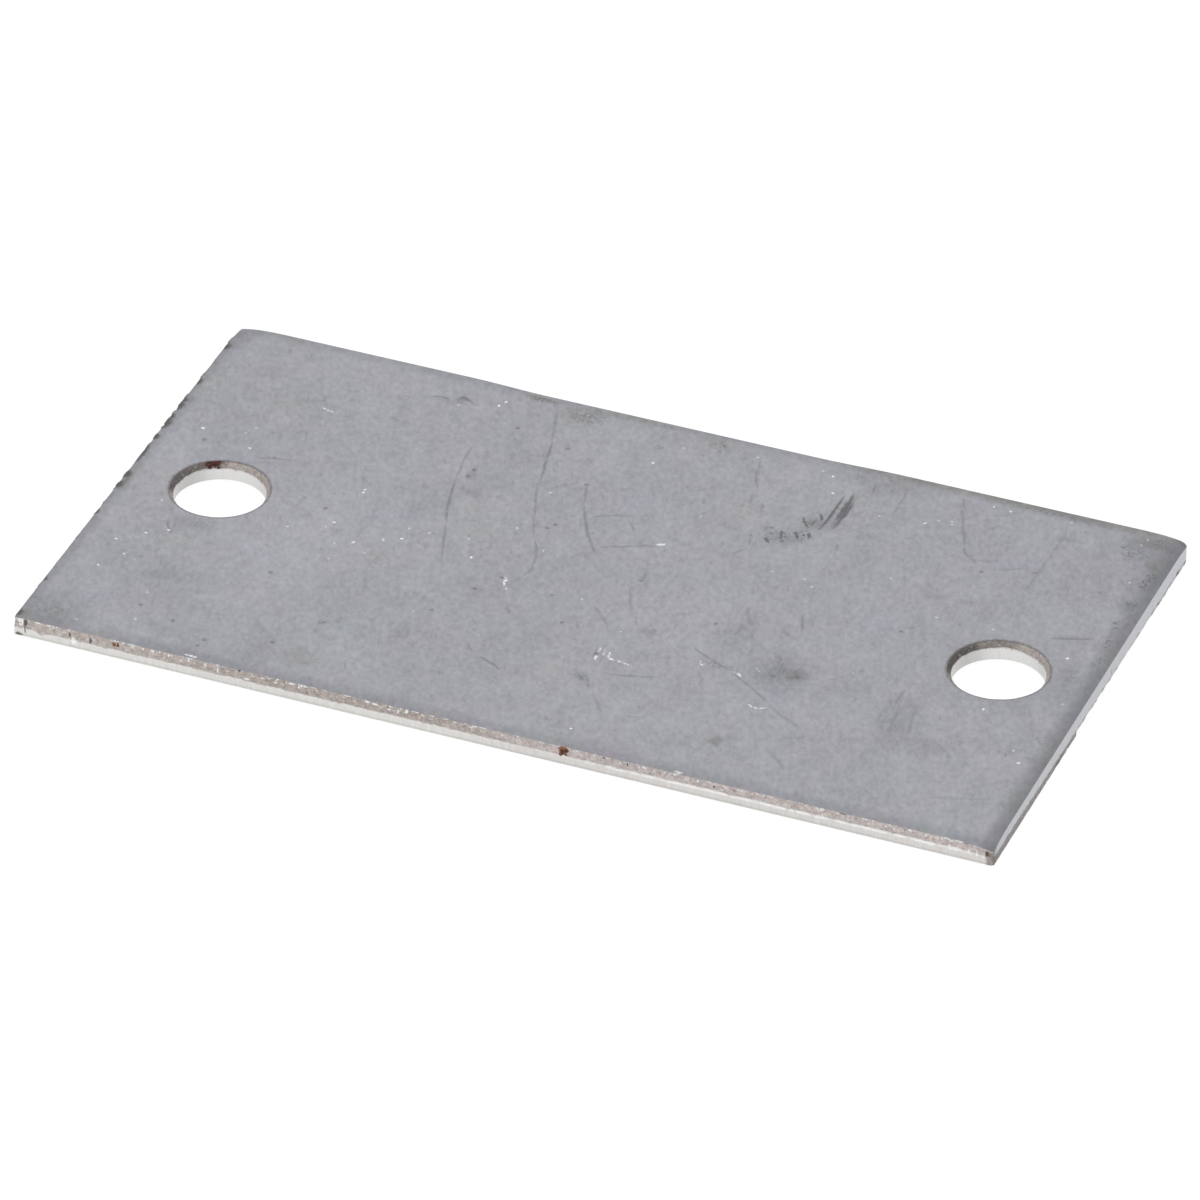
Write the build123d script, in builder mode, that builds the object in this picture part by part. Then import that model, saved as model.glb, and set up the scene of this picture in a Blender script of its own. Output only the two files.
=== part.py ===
"""Rectangular steel cover plate with two punched fixing holes.

The plate is sheet steel cut to size on a guillotine, so every edge has a smooth
sheared land, a torn band that leans back towards the burr, and a rolled-over
shoulder on the face where the blade came in.

Frame, in millimetres: X along the length, Y across the width, Z up.
The origin is the centre of the underside, and the plate lies on Z = 0.
"""
import os
from math import asin, degrees, sqrt

from build123d import *

# Blank
plate_length = 99.0
plate_width = 55.0
plate_thickness = 2.0
corner_radius = 0.3

# Holes, punched upwards, on the long centre line, each this far from its end of the plate
hole_inset = 9.5
punch_radius = 4.5
punch_entry_radius = 0.15
breakout_height = 0.6
breakout_radius = 4.9

# Sheared edges: how far a torn band leans back at its burr, and how deep it is at each end
torn_lean = 0.04
front_torn_at_left = 1.2
front_torn_at_right = 0.75
left_torn = 1.1
back_torn = 0.9
right_torn_at_back = 0.3
right_torn_at_front = 1.0

# Shoulders rolled over by the blade, as quarter ellipses: in from the wall, and down it.
# The right edge was cut with the widest gap between the blades, so its shoulder is the deepest.
shoulder_reach = 0.5
shoulder_drop = 0.07
right_shoulder_reach = 0.9
right_shoulder_drop = 0.2

# Corners where the blades met: how far in the face starts to fall, and the curve it follows
roll_off_reach = 6.0
roll_off_curve = 6.75

# How far a cutting shape stands out past what it cuts
spare = 1.0

half_length = plate_length / 2
half_width = plate_width / 2
hole_x = half_length - hole_inset

front_left = (-half_length, -half_width)
front_right = (half_length, -half_width)
back_left = (-half_length, half_width)
back_right = (half_length, half_width)

top = plate_thickness
underside = 0.0
up = Vector(0, 0, 1)
down = Vector(0, 0, -1)


def section_plane(corner, height, outward, away):
    """Plane across a sharp edge: x points out of the plate, and y away from its face."""
    out = Vector(*outward)
    return Plane(origin=(*corner, height), x_dir=out, z_dir=out.cross(away))


def torn_section(plane, depth):
    """What is missing from a square edge where the steel tore: a thin wedge."""
    with BuildSketch(plane) as section:
        with BuildLine():
            Polyline(
                (-torn_lean, 0),
                (0, -depth),
                (spare, -depth),
                (spare, spare),
                (-torn_lean, spare),
                close=True,
            )
        make_face()
    return section.sketch


def shoulder_section(plane, reach, drop):
    """What is missing from a square edge where the face was drawn down."""
    with BuildSketch(plane) as section:
        with BuildLine():
            shoulder = EllipticalCenterArc((-reach, -drop), reach, drop, arc_size=90)
            Polyline(
                shoulder @ 1,
                (-reach, spare),
                (spare, spare),
                (spare, -drop),
                shoulder @ 0,
            )
        make_face()
    return section.sketch


def roll_off_section(centre, turn):
    """What is missing above a corner, drawn on a plane through the curve's axis."""
    outward = Vector(1, 0, 0).rotate(Axis.Z, turn)
    reach_past = roll_off_reach * (sqrt(2) - 1)
    with BuildSketch(Plane(origin=(*centre, top), x_dir=outward, z_dir=outward.cross(up))) as section:
        with BuildLine():
            fall = CenterArc(
                center=(roll_off_reach, -roll_off_curve),
                radius=roll_off_curve,
                start_angle=90,
                arc_size=-degrees(asin(reach_past / roll_off_curve)),
            )
            Polyline(
                fall @ 1,
                (roll_off_reach + reach_past, spare),
                (roll_off_reach, spare),
                fall @ 0,
            )
        make_face()
    return section.sketch


def hole_section(x):
    """Half of a punched hole: an entry drawn in, a smooth land, and a torn taper above it."""
    entry_edge = punch_radius + punch_entry_radius
    with BuildSketch(Plane(origin=(x, 0, 0), x_dir=(1, 0, 0), z_dir=(0, -1, 0))) as section:
        with BuildLine():
            entry = CenterArc(
                center=(entry_edge, punch_entry_radius),
                radius=punch_entry_radius,
                start_angle=180,
                arc_size=90,
            )
            Polyline(
                entry @ 0,
                (punch_radius, top - breakout_height),
                (breakout_radius, top),
                (breakout_radius, top + spare),
                (0, top + spare),
                (0, -spare),
                (entry_edge, -spare),
                entry @ 1,
            )
        make_face()
    return section.sketch


with BuildPart() as cover_plate:
    with BuildSketch():
        RectangleRounded(plate_length, plate_width, corner_radius)
    extrude(amount=plate_thickness)

    # Torn bands: burr upwards on the front and left edges, downwards on the other two
    for start, end, outward, face, away, start_depth, end_depth in (
        (front_left, front_right, (0, -1, 0), top, up, front_torn_at_left, front_torn_at_right),
        (back_left, front_left, (-1, 0, 0), top, up, left_torn, left_torn),
        (back_left, back_right, (0, 1, 0), underside, down, back_torn, back_torn),
        (back_right, front_right, (1, 0, 0), underside, down, right_torn_at_back, right_torn_at_front),
    ):
        sections = [
            torn_section(section_plane(start, face, outward, away), start_depth),
            torn_section(section_plane(end, face, outward, away), end_depth),
        ]
        loft(sections, ruled=True, mode=Mode.SUBTRACT)

    # Rolled shoulders, each on the face opposite its edge's burr
    plain = (shoulder_reach, shoulder_drop)
    deep = (right_shoulder_reach, right_shoulder_drop)
    for start, outward, face, away, run, shoulder in (
        (front_left, (0, -1, 0), underside, down, plate_length, plain),
        (front_left, (-1, 0, 0), underside, down, -plate_width, plain),
        (back_left, (0, 1, 0), top, up, plate_length, plain),
        (front_right, (1, 0, 0), top, up, -plate_width, deep),
    ):
        section = shoulder_section(section_plane(start, face, outward, away), *shoulder)
        extrude(section, amount=run, mode=Mode.SUBTRACT)

    # Corners pulled down between two cuts; the front left one stays square
    inset_x = half_length - roll_off_reach
    inset_y = half_width - roll_off_reach
    for centre, turn in (
        ((inset_x, inset_y), 0),
        ((-inset_x, inset_y), 90),
        ((inset_x, -inset_y), 270),
    ):
        revolve(
            roll_off_section(centre, turn),
            axis=Axis((*centre, 0), (0, 0, 1)),
            revolution_arc=90,
            mode=Mode.SUBTRACT,
        )

    # Punched holes, 80 mm apart
    for x in (-hole_x, hole_x):
        revolve(hole_section(x), axis=Axis((x, 0, 0), (0, 0, 1)), mode=Mode.SUBTRACT)

cover_plate.part.label = "cover_plate"

os.makedirs("parts", exist_ok=True)
export_step(cover_plate.part, "parts/cover_plate.step")
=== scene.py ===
from math import atan2, cos, exp, hypot, pi, radians, sin, sqrt

import bmesh
import bpy
from mathutils import Matrix, Vector, noise


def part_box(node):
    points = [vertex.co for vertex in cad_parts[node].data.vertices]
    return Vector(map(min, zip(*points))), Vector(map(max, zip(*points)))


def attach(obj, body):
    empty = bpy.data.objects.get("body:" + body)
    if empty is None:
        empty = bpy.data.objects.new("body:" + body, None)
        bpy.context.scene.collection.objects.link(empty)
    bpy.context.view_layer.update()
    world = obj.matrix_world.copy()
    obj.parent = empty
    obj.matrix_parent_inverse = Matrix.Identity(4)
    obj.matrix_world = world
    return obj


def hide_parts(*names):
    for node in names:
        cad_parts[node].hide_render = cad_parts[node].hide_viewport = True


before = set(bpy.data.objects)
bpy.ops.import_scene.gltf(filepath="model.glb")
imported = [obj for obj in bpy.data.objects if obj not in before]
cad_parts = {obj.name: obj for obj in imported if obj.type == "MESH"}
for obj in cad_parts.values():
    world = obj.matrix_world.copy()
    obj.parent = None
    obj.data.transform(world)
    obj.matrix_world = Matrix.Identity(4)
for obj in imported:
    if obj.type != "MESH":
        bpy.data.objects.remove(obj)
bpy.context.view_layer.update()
plateLow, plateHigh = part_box("cover_plate")
mm = 0.001
halfLength = (plateHigh.x - plateLow.x) / 2 / mm
halfWidth = (plateHigh.y - plateLow.y) / 2 / mm
topFace = (plateHigh.z - plateLow.z) / mm
print("frame loaded:", round(halfLength * 2, 2), "x", round(halfWidth * 2, 2), "x", round(topFace, 2), "mm")


view = {
    "azimuth": 21.23,       # degrees round from the front
    "elevation": 34.39,
    "roll": 0.73,
    "distance": 1086.7,     # mm from the middle of the plate
    "slide": (-0.461, -0.440),
    "lens": 341.12,
}


def placeCamera():
    turn = radians(view["azimuth"])
    rise = radians(view["elevation"])
    back = Vector((sin(turn) * cos(rise), -cos(turn) * cos(rise), sin(rise)))
    level = Vector((cos(turn), sin(turn), 0))
    right = Matrix.Rotation(radians(view["roll"]), 3, back) @ level
    upright = back.cross(right)
    place = (back * view["distance"] + right * view["slide"][0] + upright * view["slide"][1]) * mm
    lens = bpy.data.cameras.new("viewCamera")
    lens.lens = view["lens"]
    lens.sensor_width = 36
    lens.clip_start = 0.01
    lens.clip_end = 50
    camera = bpy.data.objects.new("viewCamera", lens)
    bpy.context.scene.collection.objects.link(camera)
    turned = Matrix((right, upright, back)).transposed().to_4x4()
    camera.matrix_world = Matrix.Translation(place) @ turned
    bpy.context.scene.camera = camera


# A value in a node tree. Sums and products of wires add their Math nodes.
class Wire:
    def __init__(self, sheet, socket):
        self.sheet = sheet
        self.socket = socket

    def maths(self, operation, *values):
        made = self.sheet.node("ShaderNodeMath", {"operation": operation}, dict(enumerate(values)))
        return Wire(self.sheet, made.outputs[0])

    def __add__(self, other):
        return self.maths("ADD", self, other)

    def __sub__(self, other):
        return self.maths("SUBTRACT", self, other)

    def __rsub__(self, other):
        return self.maths("SUBTRACT", other, self)

    def __mul__(self, other):
        return self.maths("MULTIPLY", self, other)

    def least(self, other):
        return self.maths("MINIMUM", self, other)

    def most(self, other):
        return self.maths("MAXIMUM", self, other)

    def size(self):
        return self.maths("ABSOLUTE", self)

    def timesPlus(self, factor, extra):
        return self.maths("MULTIPLY_ADD", self, factor, extra)


# The nodes of one material or of the world.
class Sheet:
    def __init__(self, owner):
        owner.use_nodes = True
        self.owner = owner
        self.tree = owner.node_tree
        self.tree.nodes.clear()

    def node(self, kind, settings, sockets):
        made = self.tree.nodes.new(kind)
        for name, value in settings.items():
            setattr(made, name, value)
        for name, value in sockets.items():
            if isinstance(value, Wire):
                self.tree.links.new(value.socket, made.inputs[name])
            else:
                made.inputs[name].default_value = value
        return made

    def wire(self, kind, output, settings, sockets):
        return Wire(self, self.node(kind, settings, sockets).outputs[output])

    def vector(self, operation, *values, output="Vector"):
        return self.wire("ShaderNodeVectorMath", output, {"operation": operation}, dict(enumerate(values)))

    def dot(self, first, second):
        return self.vector("DOT_PRODUCT", first, second, output="Value")

    def length(self, value):
        return self.vector("LENGTH", value, output="Value")

    def seenBy(self, ray):
        return self.wire("ShaderNodeLightPath", "Is " + ray + " Ray", {}, {})

    def axis(self, value, number):
        return self.wire("ShaderNodeSeparateXYZ", number, {}, {0: value})

    def scaled(self, value, factor):
        return self.wire(
            "ShaderNodeVectorMath", "Vector", {"operation": "SCALE"}, {"Vector": value, "Scale": factor}
        )

    def fade(self, value, start, end, low=0.0, high=1.0):
        return self.wire(
            "ShaderNodeMapRange",
            "Result",
            {"interpolation_type": "SMOOTHSTEP"},
            {"Value": value, "From Min": start, "From Max": end, "To Min": low, "To Max": high},
        )

    def grain(self, place, scale, detail=2.0, roughness=0.5, output="Fac"):
        return self.wire(
            "ShaderNodeTexNoise",
            output,
            {"noise_dimensions": "3D"},
            {"Vector": place, "Scale": scale, "Detail": detail, "Roughness": roughness},
        )

    def blend(self, factor, first, second):
        made = self.node("ShaderNodeMix", {"data_type": "RGBA"}, {0: factor, 6: first, 7: second})
        return Wire(self, made.outputs[2])


def newSheet(name):
    return Sheet(bpy.data.materials.new(name))


def tint(colour):
    return (*colour, 1.0)


studio = {
    "floorSize": 12.0,
    "floorGlow": 0.86,       # what the white floor shows by itself; its shaded part makes up the rest
    "floorColour": 0.2,
    "skyStrength": 1.0,
    "horizonShade": 0.72,    # how bright the backdrop is low down, where the rolled edges mirror it
}


def makeFloor():
    bpy.ops.mesh.primitive_plane_add(size=studio["floorSize"], location=(0, 0, plateLow.z - 0.00002))
    floor = bpy.context.active_object
    floor.name = "floor"
    sheet = newSheet("whitePaper")
    seen = sheet.seenBy("Camera").most(sheet.seenBy("Glossy")).most(sheet.seenBy("Transmission"))
    glow = sheet.wire("ShaderNodeEmission", 0, {}, {"Color": (1, 1, 1, 1), "Strength": studio["floorGlow"]})
    tone = studio["floorColour"]
    shaded = sheet.wire("ShaderNodeBsdfDiffuse", 0, {}, {"Color": (tone, tone, tone, 1)})
    plain = sheet.wire("ShaderNodeBsdfDiffuse", 0, {}, {"Color": (0.8, 0.8, 0.8, 1)})
    white = sheet.wire("ShaderNodeAddShader", 0, {}, {0: glow, 1: shaded})
    mixed = sheet.wire("ShaderNodeMixShader", 0, {}, {0: seen, 1: plain, 2: white})
    sheet.node("ShaderNodeOutputMaterial", {}, {"Surface": mixed})
    floor.data.materials.append(sheet.owner)


def makeWorld():
    world = bpy.data.worlds.new("softRoom")
    bpy.context.scene.world = world
    sheet = Sheet(world)
    place = sheet.wire("ShaderNodeTexCoord", "Generated", {}, {})
    low = sheet.fade(sheet.axis(place, 2), 0.5, 0.12) * sheet.fade(sheet.axis(place, 0), -0.6, 0.5, 0.6, 1.0)
    shade = 1 - low * sheet.seenBy("Glossy") * (1 - studio["horizonShade"])
    backdrop = sheet.wire(
        "ShaderNodeBackground", 0, {}, {"Color": (1, 1, 1, 1), "Strength": shade * studio["skyStrength"]}
    )
    sheet.node("ShaderNodeOutputWorld", {}, {"Surface": backdrop})


bpy.context.scene.view_settings.view_transform = "Standard"
placeCamera()
makeFloor()
makeWorld()
print("camera, floor and room light in place")


plate = {
    "cell": 1.0,              # spacing of the grid on both faces, mm
    "cutsPerCell": 7,         # the outline is this much finer
    "border": 1.6,            # from the outline in to the grid
    "cornerRadii": (0.12, 0.3, 1.0, 0.15),   # anticlockwise from the front left
    "rollOffReach": 6.0,
    "rollOffCurve": 6.75,
    "insets": (1.6, 1.25, 0.95, 0.7, 0.46, 0.26, 0.11),   # rings on each face, from the grid out
    "wallSteps": 8,
    "tornSteps": 5,
    "rimDrop": 0.03,          # how far the face falls to the burr's rim, and where the tear starts below it
    "tearDrop": 0.04,
}
gridX = halfLength - plate["border"]
gridY = halfWidth - plate["border"]
near = 0.001

# Sides run anticlockwise from the front. Torn depth is measured from the burr, at the side's start
# and end, and quicker is how much sooner it gets there. A shoulder is how far in and down the blade
# drew the face, waver is how ragged the rim is, and proud is how far out it may stand
sides = (
    {
        "name": "front", "burrDown": 0, "torn": (1.1, 0.9), "lean": 0.02,
        "shoulder": (0.3, 0.012), "waver": 0.8, "proud": 0.0, "quicker": 1.0,
    },
    {
        "name": "right", "burrDown": 1, "torn": (1.0, 0.3), "lean": -0.05,
        "shoulder": (0.9, 0.015), "waver": 0.7, "proud": 0.04, "quicker": 1.6,
    },
    {
        "name": "back", "burrDown": 1, "torn": (0.9, 0.9), "lean": 0.03,
        "shoulder": (0.4, 0.03), "waver": 1.0, "proud": 0.0, "quicker": 1.0,
    },
    {
        "name": "left", "burrDown": 0, "torn": (1.1, 1.1), "lean": 0.06,
        "shoulder": (0.5, 0.07), "waver": 0.6, "proud": 0.04, "quicker": 1.0,
    },
)

# Where the tear runs deeper: place, half length, how much deeper
deepTears = {"front": ((-44.8, 0.8, 0.32), (-49.0, 1.5, 0.55))}

# Bits of burr along the rim of a side: place, half length, how far out
rimBurr = {
    "front": ((-31.4, 0.8, 0.05), (-12.6, 1.0, 0.05), (18.1, 0.45, 0.06)),
    "left": (
        (23.2, 0.6, 0.20), (16.6, 0.6, 0.12), (12.9, 0.5, 0.20), (11.8, 0.7, 0.22), (9.9, 0.5, 0.20),
        (8.6, 1.0, 0.22), (7.4, 0.4, 0.16), (5.8, 0.6, 0.14), (2.9, 2.0, 0.08), (-1.0, 0.8, 0.15),
        (-3.1, 0.7, 0.18), (-6.0, 0.3, 0.10), (-8.0, 0.3, 0.10), (-20.5, 0.4, 0.10),
    ),
}

hole = {
    "inset": 9.5,             # from the plate's end to the middle
    "cutsPerCell": 3,
    "collarRadius": 5.4,
    "clearance": 0.9,         # how far beyond the collar the grid is cleared
    "searchReach": 1.8,       # and how far beyond it the open rim is looked for
    "collarShares": (0.0, 0.45, 0.82, 1.0),   # rings on the top face, from the collar in to the rim
    "rimRadius": 4.9,
    "rimDrop": 0.03,
    "punchRadius": 4.5,
    "breakoutHeight": 0.6,
    "entryRadius": 0.15,
    "tornSteps": 4,
    "landSteps": 3,
    "entrySteps": 3,
}
holeMiddles = (-(halfLength - hole["inset"]), halfLength - hole["inset"])
rimRing = len(hole["collarShares"]) - 1
holeRings = rimRing + hole["tornSteps"] + hole["landSteps"] + hole["entrySteps"] + 1


def wobble(along, scale, seed):
    return noise.noise(Vector((along / scale, seed * 7.3, seed * 1.7)))


# Raggedness, as waves of a height and a length in mm
waves = {
    "burr": ((0.05, 0.9), (0.05, 0.28)),
    "breakLine": ((0.07, 2.2), (0.05, 0.45)),
    "holeBreakLine": ((0.16, 2.5), (0.08, 0.5)),
}


def ragged(kind, along, seed):
    total = 0.0
    for more, (height, length) in enumerate(waves[kind]):
        total += height * wobble(along, length, seed + more)
    return total


def smooth(value):
    value = min(1.0, max(0.0, value))
    return value * value * (3 - 2 * value)


def burrBit(along, bits):
    reach = 0.0
    for place, half, proud in bits:
        away = abs(along - place) / half
        if away < 1.5:
            uneven = 0.7 + 0.9 * wobble(along, 0.22, 5)
            reach = max(reach, proud * uneven * exp(-2.0 * away ** 4))
    return reach


# How far the top face has fallen at a place: three of the corners are drawn down
def cornerDrop(x, y):
    across = abs(x) - (halfLength - plate["rollOffReach"])
    along = abs(y) - (halfWidth - plate["rollOffReach"])
    if (x < 0 and y < 0) or across <= 0 or along <= 0:
        return 0.0
    past = max(0.0, hypot(across, along) - plate["rollOffReach"])
    return past * past / (2 * plate["rollOffCurve"])


# Half of a side's run, and how far out from the middle it lies
def sideFrame(side):
    return (halfLength, halfWidth) if side % 2 == 0 else (halfWidth, halfLength)


def turnedPoint(side, along, out):
    turn = side * pi / 2
    return Vector((along * cos(turn) + out * sin(turn), along * sin(turn) - out * cos(turn)))


# The outline at a share of one side, which takes half of the arc at both its ends: the place, and
# how far round an arc it is
def outlinePoint(side, share):
    halfRun, halfAcross = sideFrame(side)
    start = plate["cornerRadii"][side]
    end = plate["cornerRadii"][(side + 1) % 4]
    straight = 2 * halfRun - start - end
    way = share * (straight + pi * (start + end) / 4) - pi * start / 4
    radius, turn, along = start, 0.0, way
    if way < 0:
        turn = way / start
        along = start * sin(turn)
    if way > straight:
        radius = end
        turn = (way - straight) / end
        along = straight + end * sin(turn)
    return turnedPoint(side, start - halfRun + along, halfAcross - radius + radius * cos(turn)), turn


# Where a point of the grid's border lies: its side and its share of that side
def borderShare(x, y):
    if abs(abs(y) - gridY) < near:
        share = (x / gridX + 1) / 2
        return (0, share) if y < 0 else (2, 1 - share)
    share = (y / gridY + 1) / 2
    return (1, share) if x > 0 else (3, 1 - share)


# 1 where the burr points down and 0 where it points up, halfway between at a corner they share
def burrDown(side, turn):
    here = sides[side]["burrDown"]
    there = sides[(side + (1 if turn > 0 else -1)) % 4]["burrDown"]
    return here + (there - here) * 0.5 * smooth(abs(turn) / (pi / 4))


def shoulderFall(inset, shoulder):
    reach, drop = shoulder
    share = max(0.0, 1 - inset / reach)
    return drop * (1 - sqrt(1 - share * share))


# The two rims that aren't straight, in mm
rims = {
    "rightStep": -4.4,        # the right burr is flush in front of here, and drawn in behind
    "rightDrawn": 0.15,
    "rightTeeth": 0.16,
    "backHollow": 0.26,
}


def rightRim(along):
    drawn = rims["rightDrawn"] * smooth((along - rims["rightStep"]) / 0.5)
    drawn -= 0.05 * smooth(along / 6) + 0.1 * smooth((along - 12) / 9)
    teeth = rims["rightTeeth"] * abs(wobble(along, 2.1, 31)) * smooth((along + 5) / 1.5)
    return -drawn - teeth


def backHollow(along):
    return rims["backHollow"] * smooth((along + 24) / 8) * smooth((20 - along) / 9)


# One ring of a side's section with its burr at the top: how far out, how high, how torn
def burrUpRing(ring, along, share, side):
    insets = plate["insets"]
    seed = 3 * sides.index(side) + 1
    rim = (ragged("burr", along, seed) - 0.02) * side["waver"] - side["lean"]
    rim += burrBit(along, rimBurr.get(side["name"], ()))
    if side["name"] == "right":
        rim += rightRim(along)
    rim = min(rim, side["proud"])
    if ring < len(insets):
        inward = insets[ring] / plate["border"]
        height = topFace - plate["rimDrop"] * smooth(1 - inward * 2)
        return rim + (-plate["border"] - rim) * inward, height, 0.0
    ring -= len(insets)
    startDepth, endDepth = side["torn"]
    depth = startDepth + (endDepth - startDepth) * min(1.0, share * side["quicker"])
    depth += burrBit(along, deepTears.get(side["name"], ()))
    breakLine = depth + ragged("breakLine", along, seed + 2)
    if ring <= plate["tornSteps"]:
        down = ring / plate["tornSteps"]
        rough = 0.04 * noise.noise(Vector((along / 0.4, down * 2.6, seed * 3.1))) - 0.03
        out = rim * (1 - down) + rough * min(1.0, 4 * down * (1 - down))
        out = min(out, max(rim, 0.0))
        start = plate["tearDrop"]
        return out, topFace - start + (start - breakLine) * down, 1.0 if down < 1 else 0.5
    foot = side["shoulder"][1]
    if ring <= plate["wallSteps"]:
        down = (ring - plate["tornSteps"]) / (plate["wallSteps"] - plate["tornSteps"])
        start = topFace - breakLine
        return 0.0, start + (foot - start) * down, 0.0
    inset = insets[len(insets) - (ring - plate["wallSteps"])]
    return -inset, shoulderFall(inset, side["shoulder"]), 0.0


lastRing = 2 * len(plate["insets"]) + plate["wallSteps"]


def sectionRing(ring, sideNumber, share, along):
    side = sides[sideNumber]
    edge, turn = outlinePoint(sideNumber, share)
    out, height, torn = burrUpRing(ring, along, share, side)
    outDown, heightDown, tornDown = burrUpRing(lastRing - ring, along, share, side)
    down = burrDown(sideNumber, turn)
    out += (outDown - out) * down
    height += (topFace - heightDown - height) * down
    torn += (tornDown - torn) * down
    if side["name"] == "back":
        edge.y -= backHollow(along)
    return edge, out, height, torn


def placeEdgeVertex(vertex):
    ring = round((topFace - vertex.co.z) / topFace * lastRing)
    side, share = borderShare(vertex.co.x, vertex.co.y)
    inner = Vector((vertex.co.x, vertex.co.y))
    along = vertex.co.x if side % 2 == 0 else vertex.co.y
    edge, out, height, torn = sectionRing(ring, side, share, along)
    place = edge + (inner - edge) * (-out / plate["border"])
    height -= cornerDrop(place.x, place.y) * height / topFace
    vertex.co = (place.x, place.y, height)
    return ring, torn


# One ring of a punched hole, from its collar on the top face to its collar underneath
def holeRing(ring, angle, seed):
    along = angle * hole["rimRadius"]
    rim = hole["rimRadius"] + 0.03 * wobble(cos(angle) * 3, 1.0, seed) + 0.02 * wobble(along, 0.4, seed)
    if ring <= rimRing:
        share = hole["collarShares"][ring]
        height = topFace - hole["rimDrop"] * share ** 4
        return hole["collarRadius"] + (rim - hole["collarRadius"]) * share, height, 1.0
    ring -= rimRing
    depth = hole["breakoutHeight"] + ragged("holeBreakLine", along, seed + 1)
    if ring <= hole["tornSteps"]:
        share = ring / hole["tornSteps"]
        rough = 0.05 * noise.noise(Vector((along / 0.4, share * 2.2, seed * 2.3)))
        radius = rim + (hole["punchRadius"] - rim) * share ** 0.8
        radius += rough * min(1.0, 4 * share * (1 - share))
        start = hole["rimDrop"]
        return radius, topFace - start - (depth - start) * share, 1.0 if share < 1 else 0.5
    ring -= hole["tornSteps"]
    foot = hole["entryRadius"]
    if ring <= hole["landSteps"]:
        start = topFace - depth
        return hole["punchRadius"], start + (foot - start) * ring / hole["landSteps"], 0.0
    ring -= hole["landSteps"]
    if ring <= hole["entrySteps"]:
        turn = ring / hole["entrySteps"] * pi / 2
        return hole["punchRadius"] + foot * (1 - cos(turn)), foot * (1 - sin(turn)), 0.0
    return hole["collarRadius"], 0.0, 0.0


def placeHoleVertex(vertex, middle):
    ring = round((topFace - vertex.co.z) / topFace * holeRings)
    angle = atan2(vertex.co.y, vertex.co.x - middle)
    radius, height, torn = holeRing(ring, angle, 11 if middle < 0 else 14)
    vertex.co = (middle + radius * cos(angle), radius * sin(angle), height)
    return ring, torn


# Selects in edit mode only what passes a test
def pick(kind, test):
    bpy.ops.mesh.select_all(action="DESELECT")
    bpy.ops.mesh.select_mode(type={"verts": "VERT", "edges": "EDGE", "faces": "FACE"}[kind])
    shape = bmesh.from_edit_mesh(bpy.context.edit_object.data)
    for item in getattr(shape, kind):
        if test(item):
            item.select_set(True)
    shape.select_flush_mode()
    bmesh.update_edit_mesh(bpy.context.edit_object.data)


def middleOf(item):
    return sum((vertex.co for vertex in item.verts), Vector()) / len(item.verts)


def faceWithin(middle, reach):
    def test(face):
        centre = middleOf(face)
        return hypot(centre.x - middle, centre.y) < reach
    return test


def openNear(middle, reach):
    def test(edge):
        centre = middleOf(edge)
        return len(edge.link_faces) < 2 and hypot(centre.x - middle, centre.y) < reach
    return test


def onBorder(edge):
    centre = middleOf(edge)
    return len(edge.link_faces) < 2 and (abs(centre.x) > gridX - near or abs(centre.y) > gridY - near)


def drawToCircle(middle):
    shape = bmesh.from_edit_mesh(bpy.context.edit_object.data)
    for vertex in shape.verts:
        if vertex.select:
            angle = atan2(vertex.co.y, vertex.co.x - middle)
            vertex.co.x = middle + hole["collarRadius"] * cos(angle)
            vertex.co.y = hole["collarRadius"] * sin(angle)
    bmesh.update_edit_mesh(bpy.context.edit_object.data)


# A wall hangs down from an open rim of the top face, in rings
def dropWalls(test, steps):
    pick("edges", lambda edge: test(edge) and middleOf(edge).z > topFace / 2)
    for step in range(steps):
        bpy.ops.mesh.extrude_region_move(TRANSFORM_OT_translate={"value": (0, 0, -topFace / steps)})


# Both faces as grids with the holes cut out, and between them upright walls in rings
def roughOut():
    bpy.ops.object.select_all(action="DESELECT")
    bpy.ops.mesh.primitive_grid_add(
        x_subdivisions=round(2 * gridX / plate["cell"]),
        y_subdivisions=round(2 * gridY / plate["cell"]),
        size=1,
        location=(0, 0, 0),
    )
    piece = bpy.context.active_object
    piece.name = "coverPlate"
    bpy.ops.object.mode_set(mode="EDIT")
    bpy.ops.transform.resize(value=(2 * gridX, 2 * gridY, 1))
    bpy.ops.transform.translate(value=(0, 0, topFace))

    # Each hole: the grid is cleared round it, and its ragged rim is drawn in to a circle
    for middle in holeMiddles:
        pick("faces", faceWithin(middle, hole["collarRadius"] + hole["clearance"]))
        bpy.ops.mesh.delete(type="FACE")
        pick("edges", openNear(middle, hole["collarRadius"] + hole["searchReach"]))
        bpy.ops.mesh.extrude_region_move()
        drawToCircle(middle)
        bpy.ops.mesh.subdivide(number_cuts=hole["cutsPerCell"])
        drawToCircle(middle)
    pick("edges", onBorder)
    bpy.ops.mesh.subdivide(number_cuts=plate["cutsPerCell"])

    # The underside is a copy turned over, and the walls between the two are extruded
    bpy.ops.mesh.select_all(action="SELECT")
    bpy.ops.mesh.duplicate()
    bpy.ops.transform.translate(value=(0, 0, -topFace))
    bpy.ops.mesh.flip_normals()
    dropWalls(onBorder, lastRing)
    for middle in holeMiddles:
        dropWalls(openNear(middle, hole["collarRadius"] + hole["searchReach"]), holeRings)
    bpy.ops.mesh.select_all(action="SELECT")
    bpy.ops.mesh.remove_doubles(threshold=0.002)
    print("plate roughed out")
    return piece


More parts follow.
